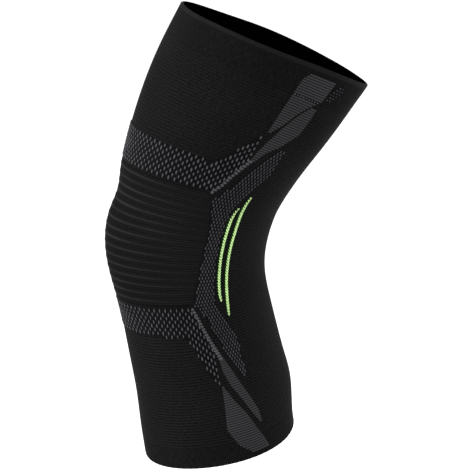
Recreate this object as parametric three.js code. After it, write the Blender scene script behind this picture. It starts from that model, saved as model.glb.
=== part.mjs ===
// Knitted knee sleeve, held in the shape of the slightly bent leg that wears it.
// Millimetres. The kneecap faces -Y, the thigh opening is up +Z, the mirror plane is X = 0.
// The origin lies in the hollow, on the leg's axis at the level of the kneecap.

import * as THREE from 'three';
import { mergeVertices } from 'three/addons/utils/BufferGeometryUtils.js';

// Driving sizes of the worn sleeve
const SLEEVE_LENGTH = 300;          // along the leg's axis, rim to rim
const THIGH_HALF_WIDTH = 66.7;      // side to side, at the thigh rim
const THIGH_HALF_DEPTH = 70.4;      // front to back, at the thigh rim
const WALL = 2;                     // thickness of the elastic knit
const FIT_GAP = 0.3;                // between neighbouring knit zones
const ZONE_THICKNESS = 0.6;         // raised knit zones on the plain body
const BODY_LIFT = -0.4;             // plain body lies this far under the pattern's mean face
const ZONE_LIFT = BODY_LIFT + FIT_GAP;

// Bend of the leg: the axis leans back below the knee and above it
const SHIN_LEAN = THREE.MathUtils.degToRad(10.3);
const THIGH_LEAN = THREE.MathUtils.degToRad(32.1);
const BEND_START = 0.243;           // share of the length where the knee's bend begins
const BEND_END = 0.911;
const ORIGIN_STATION = 0.5;         // share of the length at which the axis meets the origin
const SPINE_STEPS = 600;
const SPINE_MARGIN = 0.1;           // share of the length that the axis runs past both rims

// Swells and hollows of the leg under the knit: height, station and its spread (shares of the
// length), angle from the front line and its spread in degrees
const SWELLS = [
  { name: 'kneecap', rise: 10.4, station: 0.491, spread: 0.116, angle: 0, spreadAngle: 48 },
  { name: 'hollow above the kneecap', rise: -3.0, station: 0.588, spread: 0.039, angle: 0, spreadAngle: 48 },
  { name: 'hollow of the shin', rise: -1.6, station: 0.159, spread: 0.080, angle: 0, spreadAngle: 60 },
  { name: 'belly of the calf', rise: 1.1, station: 0.122, spread: 0.050, angle: 180, spreadAngle: 60 },
  { name: 'calf rim drawn in behind', rise: -3.6, station: 0.000, spread: 0.070, angle: 180, spreadAngle: 60 },
];

// The thigh rim is pulled down in front and rides up behind
const RIM_TILT = -0.036;            // share of the length
const RIM_BACK_DROOP = -0.010;      // its back end hangs a little, share of the length
const RIM_TILT_START = 0.55;
const CALF_TILT = -0.008;           // the calf rim rides up a little behind
const CALF_TILT_END = 0.3;

// The thigh's section is fuller than an ellipse at its corners, and both ends are widest behind the middle
const CORNER_FULLNESS = 0.10;       // share of the half width and depth
const CORNER_START = 0.6;
const BACK_FULLNESS = 0.12;
const CALF_BACK_FULLNESS = 0.10;

// Cross-sections: station (share of length), half width, half depth (shares of the thigh's)
const SECTIONS = [
  { station: 0.000, width: 0.815, depth: 0.798 },
  { station: 0.143, width: 0.770, depth: 0.786 },
  { station: 0.286, width: 0.728, depth: 0.752 },
  { station: 0.429, width: 0.697, depth: 0.720 },
  { station: 0.571, width: 0.744, depth: 0.774 },
  { station: 0.714, width: 0.845, depth: 0.856 },
  { station: 0.857, width: 0.930, depth: 0.916 },
  { station: 1.000, width: 1.000, depth: 0.924 },
];

// Tube, cuffs and their grids
const SEGMENTS_AROUND = 48;
const CALF_CUFF_TOP = 0.050;
const THIGH_CUFF_FOOT = 0.922;
const CUFF_EXTRA = 0.6;             // the turned welt is thicker than the plain knit, on the inside
const CUFF_ROUND = 1.1;             // rounding of the folded rim edge
const CUFF_ROWS = 2;
const BODY_ROWS = [
  { from: CALF_CUFF_TOP, to: 0.40, rows: 9 },
  { from: 0.40, to: 0.60, rows: 10 },
  { from: 0.60, to: THIGH_CUFF_FOOT, rows: 8 },
];
const INNER_ROW_STRIDE = 3;         // the smooth inside needs a row only every so many outer rows

// Ribbed kneecap panel: station, half angle from the front line in degrees
const PANEL_RIBS = 16;
const RIB_RISE = 0.5;
const PANEL_COLUMNS = 20;
const PANEL_EDGE = [
  { station: 0.395, angle: 73.0 },
  { station: 0.438, angle: 77.4 },
  { station: 0.479, angle: 80.0 },
  { station: 0.513, angle: 81.8 },
  { station: 0.553, angle: 83.4 },
  { station: 0.584, angle: 82.8 },
  { station: 0.607, angle: 81.4 },
  { station: 0.649, angle: 78.0 },
];

// Dotted bands: angle from the front line in degrees, lower and upper station
const BAND_COLUMNS = 30;
const UPPER_BAND = [
  { angle: 0.0, low: 0.655, high: 0.721 },
  { angle: 72.7, low: 0.652, high: 0.718 },
  { angle: 79.4, low: 0.654, high: 0.741 },
  { angle: 84.1, low: 0.671, high: 0.764 },
  { angle: 87.4, low: 0.696, high: 0.783 },
  { angle: 90.7, low: 0.718, high: 0.799 },
  { angle: 92.8, low: 0.735, high: 0.807 },
];
const LOWER_BAND = [
  { angle: 0.0, low: 0.326, high: 0.392 },
  { angle: 64.5, low: 0.321, high: 0.392 },
  { angle: 69.4, low: 0.301, high: 0.392 },
  { angle: 73.0, low: 0.262, high: 0.386 },
  { angle: 76.1, low: 0.242, high: 0.363 },
  { angle: 80.4, low: 0.209, high: 0.327 },
  { angle: 83.6, low: 0.197, high: 0.297 },
];

// Side zones: station, first and last angle from the front line in degrees
const SIDE_MESH = [
  { station: 0.199, from: 103.3, to: 105.7 },
  { station: 0.247, from: 95.0, to: 105.0 },
  { station: 0.286, from: 91.0, to: 105.4 },
  { station: 0.326, from: 86.8, to: 100.2 },
  { station: 0.357, from: 83.0, to: 95.5 },
  { station: 0.390, from: 75.2, to: 91.2 },
  { station: 0.399, from: 75.4, to: 91.4 },
  { station: 0.437, from: 78.8, to: 92.2 },
  { station: 0.479, from: 81.3, to: 93.3 },
  { station: 0.513, from: 83.1, to: 93.9 },
  { station: 0.553, from: 84.5, to: 94.7 },
  { station: 0.584, from: 83.8, to: 95.4 },
  { station: 0.607, from: 82.3, to: 96.2 },
  { station: 0.634, from: 80.2, to: 98.7 },
  { station: 0.655, from: 86.5, to: 101.9 },
  { station: 0.685, from: 91.9, to: 107.5 },
  { station: 0.718, from: 97.9, to: 112.8 },
  { station: 0.744, from: 101.6, to: 113.0 },
  { station: 0.776, from: 105.8, to: 113.1 },
  { station: 0.794, from: 109.4, to: 113.2 },
];
const UPPER_FRONT_WEDGE = [
  { station: 0.825, from: 94.6, to: 96.6 },
  { station: 0.848, from: 94.5, to: 100.3 },
  { station: 0.885, from: 94.5, to: 104.3 },
  { station: 0.902, from: 94.6, to: 107.0 },
  { station: 0.914, from: 94.7, to: 109.3 },
  { station: 0.927, from: 94.7, to: 112.7 },
  { station: 0.952, from: 94.8, to: 113.2 },
  { station: 0.976, from: 95.3, to: 113.5 },
];
const UPPER_REAR_WEDGE = [
  { station: 0.745, from: 93.9, to: 96.8 },
  { station: 0.775, from: 95.7, to: 101.0 },
  { station: 0.795, from: 97.5, to: 106.4 },
  { station: 0.840, from: 101.1, to: 113.0 },
  { station: 0.858, from: 102.7, to: 113.2 },
  { station: 0.884, from: 105.5, to: 113.2 },
  { station: 0.902, from: 108.2, to: 113.0 },
  { station: 0.914, from: 110.5, to: 113.0 },
];
const LOWER_REAR_WEDGE = [
  { station: 0.080, from: 108.2, to: 109.7 },
  { station: 0.112, from: 102.6, to: 108.1 },
  { station: 0.147, from: 97.9, to: 104.2 },
  { station: 0.190, from: 91.3, to: 98.7 },
  { station: 0.227, from: 87.8, to: 94.3 },
  { station: 0.261, from: 87.1, to: 89.9 },
];
const LOWER_FRONT_WEDGE = [
  { station: 0.019, from: 97.6, to: 112.2 },
  { station: 0.039, from: 89.9, to: 109.5 },
  { station: 0.068, from: 85.0, to: 104.7 },
  { station: 0.086, from: 82.5, to: 102.3 },
  { station: 0.116, from: 83.4, to: 98.0 },
  { station: 0.148, from: 84.2, to: 92.2 },
  { station: 0.183, from: 84.8, to: 87.0 },
  { station: 0.194, from: 84.8, to: 85.8 },
];
const WEDGE_COLUMNS = 3;

// Lime stripes: station and centre angle in degrees; the width is the same all along
const STRIPE_HALF_ANGLE = 1.2;
const STRIPE_EXTRA = 0.3;           // the thicker yarn stands proud of the side zones
const FRONT_STRIPE = [
  { station: 0.391, angle: 96.4 },
  { station: 0.408, angle: 95.5 },
  { station: 0.445, angle: 95.5 },
  { station: 0.494, angle: 96.1 },
  { station: 0.543, angle: 97.1 },
  { station: 0.594, angle: 98.3 },
  { station: 0.615, angle: 99.8 },
  { station: 0.625, angle: 101.2 },
];
const REAR_STRIPE = [
  { station: 0.353, angle: 101.1 },
  { station: 0.403, angle: 101.5 },
  { station: 0.452, angle: 101.8 },
  { station: 0.505, angle: 102.7 },
  { station: 0.558, angle: 104.0 },
  { station: 0.613, angle: 104.7 },
  { station: 0.640, angle: 105.6 },
  { station: 0.657, angle: 107.0 },
];
const STRIPE_STEPS = 12;

// Finishes
const BLACK_KNIT = new THREE.MeshStandardMaterial({ color: 0x1f1f21, roughness: 0.9, metalness: 0 });
const CUFF_KNIT = new THREE.MeshStandardMaterial({ color: 0x29292b, roughness: 0.9, metalness: 0 });
const RIBBED_KNIT = new THREE.MeshStandardMaterial({ color: 0x252527, roughness: 0.85, metalness: 0 });
const DOTTED_KNIT = new THREE.MeshStandardMaterial({ color: 0x3a3a3d, roughness: 0.85, metalness: 0 });
const GREY_KNIT = new THREE.MeshStandardMaterial({ color: 0x48484b, roughness: 0.88, metalness: 0 });
const MESH_KNIT = new THREE.MeshStandardMaterial({ color: 0x303033, roughness: 0.88, metalness: 0 });
const LIME_YARN = new THREE.MeshStandardMaterial({ color: 0xcdf08c, roughness: 0.7, metalness: 0 });

// Straight-line reading of a table column at a key
function readTable(table, keyName, valueName, key) {
  const last = table.length - 1;
  const next = Math.min(last, Math.max(1, table.findIndex((row) => row[keyName] >= key)));
  const upper = key > table[last][keyName] ? last : next;
  const a = table[upper - 1];
  const b = table[upper];
  const share = THREE.MathUtils.clamp((key - a[keyName]) / (b[keyName] - a[keyName]), 0, 1);
  return a[valueName] + (b[valueName] - a[valueName]) * share;
}

// Smooth reading of the section table through its neighbouring rows
function readSection(valueName, station) {
  const last = SECTIONS.length - 1;
  const place = THREE.MathUtils.clamp(station, 0, 1) * last;
  const index = Math.min(last - 1, Math.floor(place));
  const at = (row) => {
    if (row < 0) return 2 * SECTIONS[0][valueName] - SECTIONS[1][valueName];
    if (row > last) return 2 * SECTIONS[last][valueName] - SECTIONS[last - 1][valueName];
    return SECTIONS[row][valueName];
  };
  const [p, q, r, s] = [at(index - 1), at(index), at(index + 1), at(index + 2)];
  const t = place - index;
  return q + t * ((r - p) / 2 + t * (p - 2.5 * q + 2 * r - s / 2 + t * ((s - p) / 2 + 1.5 * (q - r))));
}

// Lean of the leg's axis at a station
function leanAt(station) {
  const bend = THREE.MathUtils.smoothstep(station, BEND_START, BEND_END);
  return -SHIN_LEAN + (SHIN_LEAN + THIGH_LEAN) * bend;
}

// The leg's axis in the mirror plane, summed up in small steps
function makeSpine() {
  const span = 1 + 2 * SPINE_MARGIN;
  const step = span / SPINE_STEPS;
  const points = [{ station: -SPINE_MARGIN, y: 0, z: 0 }];
  for (let i = 1; i <= SPINE_STEPS; i += 1) {
    const before = points[i - 1];
    const lean = leanAt(before.station + step / 2);
    points.push({
      station: before.station + step,
      y: before.y + Math.sin(lean) * step * SLEEVE_LENGTH,
      z: before.z + Math.cos(lean) * step * SLEEVE_LENGTH,
    });
  }
  return points;
}
const SPINE = makeSpine();

function spineAt(station) {
  const place = ((station + SPINE_MARGIN) / (1 + 2 * SPINE_MARGIN)) * SPINE_STEPS;
  const index = THREE.MathUtils.clamp(Math.floor(place), 0, SPINE_STEPS - 1);
  const share = place - index;
  const [a, b] = [SPINE[index], SPINE[index + 1]];
  return { y: a.y + (b.y - a.y) * share, z: a.z + (b.z - a.z) * share };
}
const SPINE_ORIGIN = spineAt(ORIGIN_STATION);

// Point of the sleeve's face: station, angle from the front line (radians), lift off the face
function facePoint(station, angle, lift) {
  const pull = THREE.MathUtils.clamp((station - RIM_TILT_START) / (1 - RIM_TILT_START), 0, 1);
  const calfPull = THREE.MathUtils.clamp((CALF_TILT_END - station) / CALF_TILT_END, 0, 1);
  const ahead = Math.cos(angle);
  const behind = Math.min(0, ahead);
  const tilted = station + pull * (RIM_TILT * ahead + RIM_BACK_DROOP * behind * behind) + calfPull * CALF_TILT * ahead;
  const corner = THREE.MathUtils.clamp((station - CORNER_START) / (1 - CORNER_START), 0, 1) * Math.sin(2 * angle) ** 2;
  const fullness = 1 + CORNER_FULLNESS * corner;
  const backFullness = 1 - (BACK_FULLNESS * pull + CALF_BACK_FULLNESS * calfPull) * ahead;
  const halfWidth = readSection('width', tilted) * THIGH_HALF_WIDTH * fullness * backFullness + lift;
  const halfDepth = readSection('depth', tilted) * THIGH_HALF_DEPTH * fullness + lift;
  const forward = SWELLS.reduce((sum, swell) => {
    const along = (station - swell.station) / swell.spread;
    const turned = THREE.MathUtils.euclideanModulo(THREE.MathUtils.radToDeg(angle) - swell.angle + 180, 360) - 180;
    const around = turned / swell.spreadAngle;
    return sum + Math.cos(THREE.MathUtils.degToRad(swell.angle)) * swell.rise * Math.exp(-along * along - around * around);
  }, halfDepth * ahead);
  const lean = leanAt(tilted);
  const axis = spineAt(tilted);
  return new THREE.Vector3(
    halfWidth * Math.sin(angle),
    axis.y - SPINE_ORIGIN.y - Math.cos(lean) * forward,
    axis.z - SPINE_ORIGIN.z + Math.sin(lean) * forward,
  );
}

// Closed solid from rings of points that are joined in turn, the last ring to the first
function solidFromRings(rings) {
  const around = rings[0].length;
  const positions = rings.flat().flatMap((point) => [point.x, point.y, point.z]);
  const faces = [];
  rings.forEach((ring, i) => {
    const next = (i + 1) % rings.length;
    for (let j = 0; j < around; j += 1) {
      const k = (j + 1) % around;
      const [a, b, c, d] = [i * around + j, i * around + k, next * around + k, next * around + j];
      faces.push(a, b, c, a, c, d);
    }
  });
  return finish(positions, faces);
}

// Closed solid between an upper and a lower grid of points of the same size
function solidFromGrids(upper, lower) {
  const [rows, columns] = [upper.length, upper[0].length];
  const flat = [...upper.flat(), ...lower.flat()];
  const positions = flat.flatMap((point) => [point.x, point.y, point.z]);
  const faces = [];
  const top = (i, j) => i * columns + j;
  const base = (i, j) => (rows + i) * columns + j;
  for (let i = 0; i < rows - 1; i += 1) {
    for (let j = 0; j < columns - 1; j += 1) {
      faces.push(top(i, j), top(i, j + 1), top(i + 1, j + 1), top(i, j), top(i + 1, j + 1), top(i + 1, j));
      faces.push(base(i, j), base(i + 1, j + 1), base(i, j + 1), base(i, j), base(i + 1, j), base(i + 1, j + 1));
    }
  }
  for (let j = 0; j < columns - 1; j += 1) {
    const end = rows - 1;
    faces.push(base(0, j), base(0, j + 1), top(0, j + 1), base(0, j), top(0, j + 1), top(0, j));
    faces.push(top(end, j), top(end, j + 1), base(end, j + 1), top(end, j), base(end, j + 1), base(end, j));
  }
  for (let i = 0; i < rows - 1; i += 1) {
    const end = columns - 1;
    faces.push(top(i, 0), top(i + 1, 0), base(i + 1, 0), top(i, 0), base(i + 1, 0), base(i, 0));
    faces.push(base(i, end), base(i + 1, end), top(i + 1, end), base(i, end), top(i + 1, end), top(i, end));
  }
  return finish(positions, faces);
}

// Welds the corners and turns the faces outward when the volume comes out negative
function finish(positions, faces) {
  let volume = 0;
  const corner = (i) => new THREE.Vector3().fromArray(positions, faces[i] * 3);
  for (let i = 0; i < faces.length; i += 3) {
    volume += corner(i).dot(corner(i + 1).cross(corner(i + 2)));
  }
  if (volume < 0) faces.reverse();
  const geometry = new THREE.BufferGeometry();
  geometry.setAttribute('position', new THREE.Float32BufferAttribute(positions, 3));
  geometry.setIndex(faces);
  return mergeVertices(geometry);
}

function ringAt(station, lift) {
  return Array.from({ length: SEGMENTS_AROUND }, (_, j) => (
    facePoint(station, (j / SEGMENTS_AROUND) * 2 * Math.PI - Math.PI, lift)
  ));
}

const stationGap = FIT_GAP / SLEEVE_LENGTH;

// The plain tube between the two cuffs
function buildBody() {
  const stations = BODY_ROWS.flatMap(({ from, to, rows }) => (
    Array.from({ length: rows }, (_, i) => from + ((to - from) * i) / rows)
  ));
  stations[0] += stationGap;
  stations.push(THIGH_CUFF_FOOT - stationGap);
  const outer = stations.map((station) => ringAt(station, BODY_LIFT));
  const last = stations.length - 1;
  const inside = stations.filter((_, i) => i === 0 || i === last || i % INNER_ROW_STRIDE === 0).reverse();
  const inner = inside.map((station) => ringAt(station, BODY_LIFT - WALL));
  return solidFromRings([...outer, ...inner]);
}

// A turned double welt: plain edge against the body, rounded fold at the opening
function buildCuff(bodyEdge, rim) {
  const toward = Math.sign(rim - bodyEdge);
  const round = (CUFF_ROUND / SLEEVE_LENGTH) * toward;
  const outerLift = BODY_LIFT;
  const innerLift = BODY_LIFT - WALL - CUFF_EXTRA;
  const outer = Array.from({ length: CUFF_ROWS + 1 }, (_, i) => (
    ringAt(bodyEdge + ((rim - round - bodyEdge) * i) / CUFF_ROWS, outerLift)
  ));
  const fold = [ringAt(rim, outerLift - CUFF_ROUND), ringAt(rim, innerLift + CUFF_ROUND)];
  const inner = [ringAt(rim - round, innerLift), ringAt(bodyEdge, innerLift)];
  return solidFromRings([...outer, ...fold, ...inner]);
}

// Ribbed panel: every rib is a crest between two troughs
function buildPanel() {
  const foot = PANEL_EDGE[0].station;
  const head = PANEL_EDGE[PANEL_EDGE.length - 1].station;
  const rows = PANEL_RIBS * 2;
  const grid = (liftAt) => Array.from({ length: rows + 1 }, (_, i) => {
    const station = foot + ((head - foot) * i) / rows;
    const half = readTable(PANEL_EDGE, 'station', 'angle', station);
    return Array.from({ length: PANEL_COLUMNS + 1 }, (_, j) => {
      const angle = THREE.MathUtils.degToRad(half * ((2 * j) / PANEL_COLUMNS - 1));
      return facePoint(station, angle, liftAt(i));
    });
  });
  const upper = grid((i) => ZONE_LIFT + ZONE_THICKNESS + (i % 2 === 1 ? RIB_RISE : 0));
  return solidFromGrids(upper, grid(() => ZONE_LIFT));
}

// Band round the front, the same on both sides of the front line
function buildBand(table) {
  const end = table[table.length - 1].angle;
  const grid = (lift) => Array.from({ length: BAND_COLUMNS + 1 }, (_, j) => {
    const angle = end * ((2 * j) / BAND_COLUMNS - 1);
    const low = readTable(table, 'angle', 'low', Math.abs(angle));
    const high = readTable(table, 'angle', 'high', Math.abs(angle));
    return [low, (low + high) / 2, high].map((station) => (
      facePoint(station, THREE.MathUtils.degToRad(angle), lift)
    ));
  });
  return solidFromGrids(grid(ZONE_LIFT + ZONE_THICKNESS), grid(ZONE_LIFT));
}

// Side zone between two angles at every station; side is +1 or -1
function buildSideZone(table, side, columns, extra) {
  const grid = (lift) => table.map(({ station, from, to }) => (
    Array.from({ length: columns + 1 }, (_, j) => {
      const angle = side * THREE.MathUtils.degToRad(from + ((to - from) * j) / columns);
      return facePoint(station, angle, lift);
    })
  ));
  return solidFromGrids(grid(ZONE_LIFT + ZONE_THICKNESS + extra), grid(ZONE_LIFT));
}

// Stripe of even width along its centre table
function buildStripe(table, side) {
  const [foot, head] = [table[0].station, table[table.length - 1].station];
  const rows = Array.from({ length: STRIPE_STEPS + 1 }, (_, i) => {
    const station = foot + ((head - foot) * i) / STRIPE_STEPS;
    const centre = readTable(table, 'station', 'angle', station);
    return { station, from: centre - STRIPE_HALF_ANGLE, to: centre + STRIPE_HALF_ANGLE };
  });
  return buildSideZone(rows, side, 1, STRIPE_EXTRA);
}

const sleeve = new THREE.Group();
sleeve.name = 'knee_sleeve';

function add(name, geometry, material) {
  const mesh = new THREE.Mesh(geometry, material);
  mesh.name = name;
  sleeve.add(mesh);
}

// The tube and its two welts
add('sleeve_body', buildBody(), BLACK_KNIT);
add('thigh_cuff', buildCuff(THIGH_CUFF_FOOT, 1), CUFF_KNIT);
add('calf_cuff', buildCuff(CALF_CUFF_TOP, 0), CUFF_KNIT);

// Zones round the front
add('kneecap_panel', buildPanel(), RIBBED_KNIT);
add('upper_dot_band', buildBand(UPPER_BAND), DOTTED_KNIT);
add('lower_dot_band', buildBand(LOWER_BAND), DOTTED_KNIT);

// Zones on each side of the knee; the wearer's left is +X
for (const { label, side } of [{ label: 'left', side: 1 }, { label: 'right', side: -1 }]) {
  add(`side_mesh_${label}`, buildSideZone(SIDE_MESH, side, WEDGE_COLUMNS, 0), MESH_KNIT);
  add(`upper_front_wedge_${label}`, buildSideZone(UPPER_FRONT_WEDGE, side, WEDGE_COLUMNS, 0), GREY_KNIT);
  add(`upper_rear_wedge_${label}`, buildSideZone(UPPER_REAR_WEDGE, side, WEDGE_COLUMNS, 0), GREY_KNIT);
  add(`lower_rear_wedge_${label}`, buildSideZone(LOWER_REAR_WEDGE, side, WEDGE_COLUMNS, 0), GREY_KNIT);
  add(`lower_front_wedge_${label}`, buildSideZone(LOWER_FRONT_WEDGE, side, WEDGE_COLUMNS, 0), GREY_KNIT);
  add(`stripe_front_${label}`, buildStripe(FRONT_STRIPE, side), LIME_YARN);
  add(`stripe_rear_${label}`, buildStripe(REAR_STRIPE, side), LIME_YARN);
}

export default sleeve;
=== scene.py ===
"""Knitted knee sleeve in its worn form: the knit, its zones and a plain studio.

Lengths are metres, angles are degrees unless a name says radians. The kneecap faces -Y, the thigh
opening is up +Z and the mirror plane is X = 0. A place on the knit is given by its station, the share
of the sleeve's length from the calf rim, and its angle round the leg from the front line.
"""
from __future__ import annotations

import logging
import math
from dataclasses import dataclass, field
from enum import Enum
from functools import cached_property
from typing import ClassVar

import bmesh
import bpy
import numpy as np
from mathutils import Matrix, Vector


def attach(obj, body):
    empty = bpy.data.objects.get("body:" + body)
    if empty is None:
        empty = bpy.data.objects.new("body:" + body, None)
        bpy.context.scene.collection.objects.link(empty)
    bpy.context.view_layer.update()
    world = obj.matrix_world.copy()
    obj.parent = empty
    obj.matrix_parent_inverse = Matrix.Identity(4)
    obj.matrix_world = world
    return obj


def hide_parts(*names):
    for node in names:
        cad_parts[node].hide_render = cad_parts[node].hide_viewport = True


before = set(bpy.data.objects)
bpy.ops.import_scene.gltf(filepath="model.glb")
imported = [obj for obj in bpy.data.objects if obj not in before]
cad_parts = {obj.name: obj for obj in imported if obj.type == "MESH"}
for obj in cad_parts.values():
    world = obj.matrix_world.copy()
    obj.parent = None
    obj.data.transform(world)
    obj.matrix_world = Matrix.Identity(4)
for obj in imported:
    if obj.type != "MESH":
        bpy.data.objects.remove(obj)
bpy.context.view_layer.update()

LOG = logging.getLogger("knee_sleeve")
MM = 0.001
KNIT_MAP = "Knit"
WELD_DISTANCE = 0.001 * MM
SHARP_ANGLE = 50

Socket = bpy.types.NodeSocket
Array = np.ndarray


# ---- Small helpers

def linear(hex_code: str) -> tuple[float, float, float, float]:
    """Turn an sRGB hex colour into linear values.

    Args:
        hex_code: six hex digits, such as "1f1f21".

    Returns:
        Linear red, green and blue, and full opacity.
    """
    parts = [int(hex_code[i:i + 2], 16) / 255 for i in (0, 2, 4)]
    red, green, blue = (c / 12.92 if c <= 0.04045 else ((c + 0.055) / 1.055) ** 2.4 for c in parts)
    return red, green, blue, 1.0


def add_node(tree: bpy.types.NodeTree, kind: str, *inputs: object, out: str | int = 0,
             named: dict[str, object] | None = None, **settings: object) -> Socket:
    """Add a node with its settings, values and links.

    Args:
        tree: node tree that gets the node.
        kind: the node's type name.
        inputs: a value or a socket for each input in turn; None leaves it as it is.
        out: name or index of the output to return.
        named: values or sockets by input name.
        settings: attributes of the node.

    Returns:
        The wanted output socket, or the first input of a node without outputs.
    """
    node = tree.nodes.new(kind)
    for key, value in settings.items():
        setattr(node, key, value)
    by_name = [(node.inputs[label], value) for label, value in (named or {}).items()]
    for target, value in [*zip(node.inputs, inputs), *by_name]:
        if isinstance(value, Socket):
            tree.links.new(value, target)
        elif value is not None:
            target.default_value = value
    return node.outputs[out] if node.outputs else node.inputs[0]


def empty_material(name: str) -> bpy.types.Material:
    """Make a material whose node tree is empty."""
    material = bpy.data.materials.new(name)
    material.use_nodes = True
    material.node_tree.nodes.clear()
    return material


def add_object(name: str, data: bpy.types.ID) -> bpy.types.Object:
    """Make an object and link it to the scene."""
    thing = bpy.data.objects.new(name, data)
    bpy.context.scene.collection.objects.link(thing)
    return thing


def ramp(value: Array, start: float, end: float) -> Array:
    """Rise straight from 0 at start to 1 at end."""
    return np.clip((np.asarray(value, float) - start) / (end - start), 0, 1)


def smooth_share(value: Array, start: float, end: float) -> Array:
    """Ease from 0 at start to 1 at end."""
    share = ramp(value, start, end)
    return share * share * (3 - 2 * share)


def read_table(table: tuple[tuple[float, ...], ...], place: Array | float) -> list[Array]:
    """Read each later column of a table at places along its first column."""
    first, *others = np.array(table).T
    return [np.interp(place, first, column) for column in others]


# ---- The leg's form

@dataclass(frozen=True)
class LegForm:
    """Outer face of the sleeve on a slightly bent leg, the same as in the solid parts."""

    length: float = 300 * MM
    half_width: float = 66.7 * MM
    half_depth: float = 70.4 * MM
    wall: float = 2.0 * MM
    shin_lean: float = 10.3
    thigh_lean: float = 32.1
    bend: tuple[float, float] = (0.243, 0.911)
    origin_station: float = 0.5
    # Rise, middle station, spread along, angle that it faces and spread round of each swell
    swells: tuple[tuple[float, ...], ...] = (
        (10.4 * MM, 0.491, 0.116, 0, 48), (-3.0 * MM, 0.588, 0.039, 0, 48),
        (-1.6 * MM, 0.159, 0.080, 0, 60), (1.1 * MM, 0.122, 0.050, 180, 60),
        (-3.6 * MM, 0.000, 0.070, 180, 60))
    rim_tilt: float = -0.036
    rim_back_droop: float = -0.010
    rim_tilt_start: float = 0.55
    calf_tilt: float = -0.008
    calf_tilt_end: float = 0.3
    corner_fullness: float = 0.10
    corner_start: float = 0.6
    back_fullness: float = 0.12
    calf_back_fullness: float = 0.10
    calf_cuff_top: float = 0.050
    thigh_cuff_foot: float = 0.922
    widths: tuple[float, ...] = (0.815, 0.770, 0.728, 0.697, 0.744, 0.845, 0.930, 1.000)
    depths: tuple[float, ...] = (0.798, 0.786, 0.752, 0.720, 0.774, 0.856, 0.916, 0.924)
    margin: float = 0.1
    steps: int = 600
    station_step: float = 0.002
    angle_step: float = 0.4

    def _section(self, rows: tuple[float, ...], station: Array) -> Array:
        """Read a column of the section table at each station, as a Catmull-Rom curve."""
        table = np.array((2 * rows[0] - rows[1], *rows, 2 * rows[-1] - rows[-2]))
        place = np.clip(station, 0, 1) * (len(rows) - 1)
        index = np.minimum(len(rows) - 2, place.astype(int))
        p, q, r, s = (table[index + k] for k in range(4))
        t = place - index
        return q + t * ((r - p) / 2 + t * (p - 2.5 * q + 2 * r - s / 2 + t * ((s - p) / 2 + 1.5 * (q - r))))

    def _lean(self, station: Array) -> Array:
        """Lean of the leg's axis in radians at each station."""
        turn = math.radians(self.shin_lean + self.thigh_lean)
        return -math.radians(self.shin_lean) + turn * smooth_share(station, *self.bend)

    def _axis(self, station: Array) -> tuple[Array, Array]:
        """Y and Z of the leg's axis at each station."""
        stations = np.linspace(-self.margin, 1 + self.margin, self.steps + 1)
        step = stations[1] - stations[0]
        lean = self._lean(stations[:-1] + step / 2)
        tables = []
        for part in (np.sin(lean), np.cos(lean)):
            run = np.concatenate([[0.0], np.cumsum(part)]) * step * self.length
            run -= np.interp(self.origin_station, stations, run)
            tables.append(np.interp(station, stations, run))
        return tables[0], tables[1]

    def point(self, station: Array, angle: Array, lift: Array | float = 0.0) -> Array:
        """Place points on the sleeve's face.

        Args:
            station: shares of the length.
            angle: degrees from the front line.
            lift: height above the face in metres.

        Returns:
            Points, with x, y and z along a last axis.
        """
        station, angle, lift = np.broadcast_arrays(*(np.asarray(a, float) for a in (station, angle, lift)))
        turn = np.radians(angle)
        pull = ramp(station, self.rim_tilt_start, 1)
        calf_pull = ramp(station, self.calf_tilt_end, 0)
        ahead = np.cos(turn)
        droop = self.rim_back_droop * np.minimum(0, ahead) ** 2
        tilted = station + pull * (self.rim_tilt * ahead + droop) + calf_pull * self.calf_tilt * ahead
        corner = ramp(station, self.corner_start, 1) * np.sin(2 * turn) ** 2
        fullness = 1 + self.corner_fullness * corner
        back_fullness = 1 - (self.back_fullness * pull + self.calf_back_fullness * calf_pull) * ahead
        width = self._section(self.widths, tilted) * self.half_width * fullness * back_fullness + lift
        depth = self._section(self.depths, tilted) * self.half_depth * fullness + lift
        forward = depth * ahead
        for rise, middle, spread, toward, spread_angle in self.swells:
            around = ((angle - toward + 180) % 360 - 180) / spread_angle
            along = (station - middle) / spread
            forward = forward + math.cos(math.radians(toward)) * rise * np.exp(-along ** 2 - around ** 2)
        lean = self._lean(tilted)
        y, z = self._axis(tilted)
        return np.stack([width * np.sin(turn), y - np.cos(lean) * forward, z + np.sin(lean) * forward], -1)

    def directions(self, station: Array, angle: Array) -> tuple[Array, Array]:
        """Unit vectors up the wales and out of the face at each place."""
        up = self.point(station + self.station_step, angle) - self.point(station - self.station_step, angle)
        side = self.point(station, angle + self.angle_step) - self.point(station, angle - self.angle_step)
        up /= np.linalg.norm(up, axis=-1, keepdims=True)
        out = np.cross(side, up)
        out /= np.linalg.norm(out, axis=-1, keepdims=True)
        return up, out


LEG = LegForm()


@dataclass(frozen=True)
class Gauge:
    """How many wales go round the sleeve and how many courses go up it.

    A real sleeve has about twice as many. Such fine ones don't show in a picture, so they are drawn
    coarser: a course of the body takes 2.1 mm, and a course of the wedges 1.8 mm.
    """

    wales: int = 144
    courses: int = 144
    close_courses: int = 170

    @property
    def wale_angle(self) -> float:
        """Angle of one wale in degrees."""
        return 360 / self.wales

    @property
    def course_share(self) -> float:
        """Share of the length that one course takes."""
        return 1 / self.courses


GAUGE = Gauge()


class Lift(Enum):
    """Heights of the faces above the pattern's mean face, in metres."""

    PLAIN = -0.40 * MM
    SHEET_FOOT = -0.38 * MM
    SHEET = -0.22 * MM
    STITCH = -0.12 * MM
    PANEL = -0.15 * MM


class Side(Enum):
    """Sides of the knee; the wearer's left is +X."""

    LEFT = 1
    RIGHT = -1


# ---- Finishes

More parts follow.
